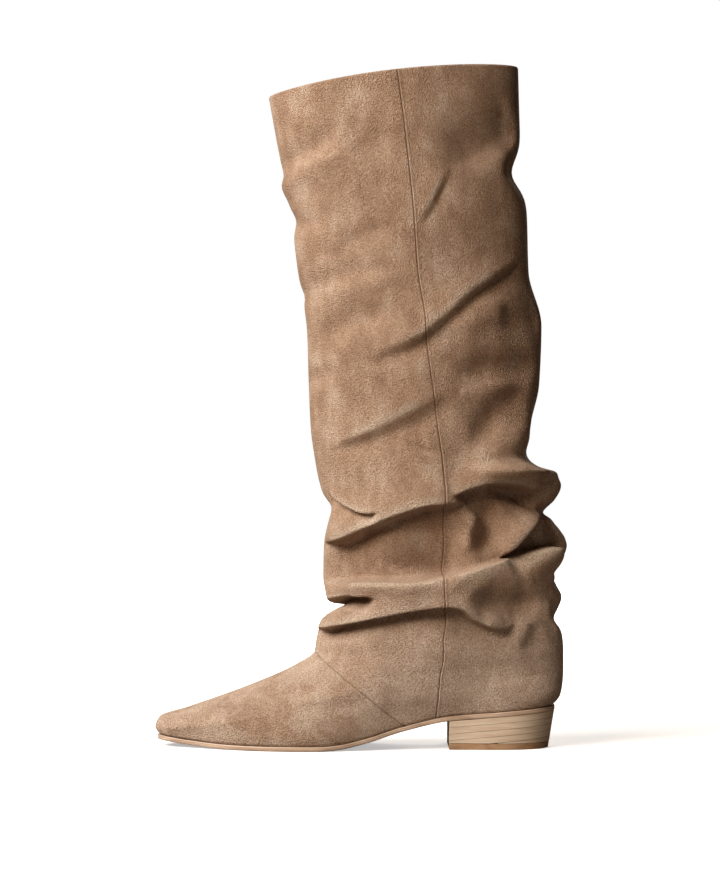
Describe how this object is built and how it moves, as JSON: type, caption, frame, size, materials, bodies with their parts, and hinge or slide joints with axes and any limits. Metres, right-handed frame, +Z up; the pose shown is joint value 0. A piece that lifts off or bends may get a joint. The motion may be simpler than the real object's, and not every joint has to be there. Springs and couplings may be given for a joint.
{
  "type": "slouch knee boot",
  "caption": "Left knee-high slouch boot: soft suede shaft folded at the ankle, narrow squared toe, thin leather sole and low stacked heel; worn on the foot.",
  "frame": {"origin": "on the floor, under the middle of the boot's box", "axes": "+Z up, -X towards the toe, -Y towards the outer side of the left foot"},
  "size_m": [0.2691, 0.0951, 0.4465],
  "materials": {
    "sand_suede": "brushed suede nap",
    "sole_leather": "dyed and trimmed edge",
    "insole_leather": "smooth sock",
    "stacked_leather": "sanded and waxed stack",
    "top_piece_rubber": "matte"
  },
  "bodies": {
    "root": {"upper": "sand_suede", "outsole": "sole_leather", "insole": "insole_leather", "heel_lift_1": "stacked_leather", "heel_lift_2": "stacked_leather", "heel_lift_3": "stacked_leather", "heel_lift_4": "stacked_leather", "heel_wedge": "stacked_leather", "heel_top_piece": "top_piece_rubber"}
  },
  "joints": []
}
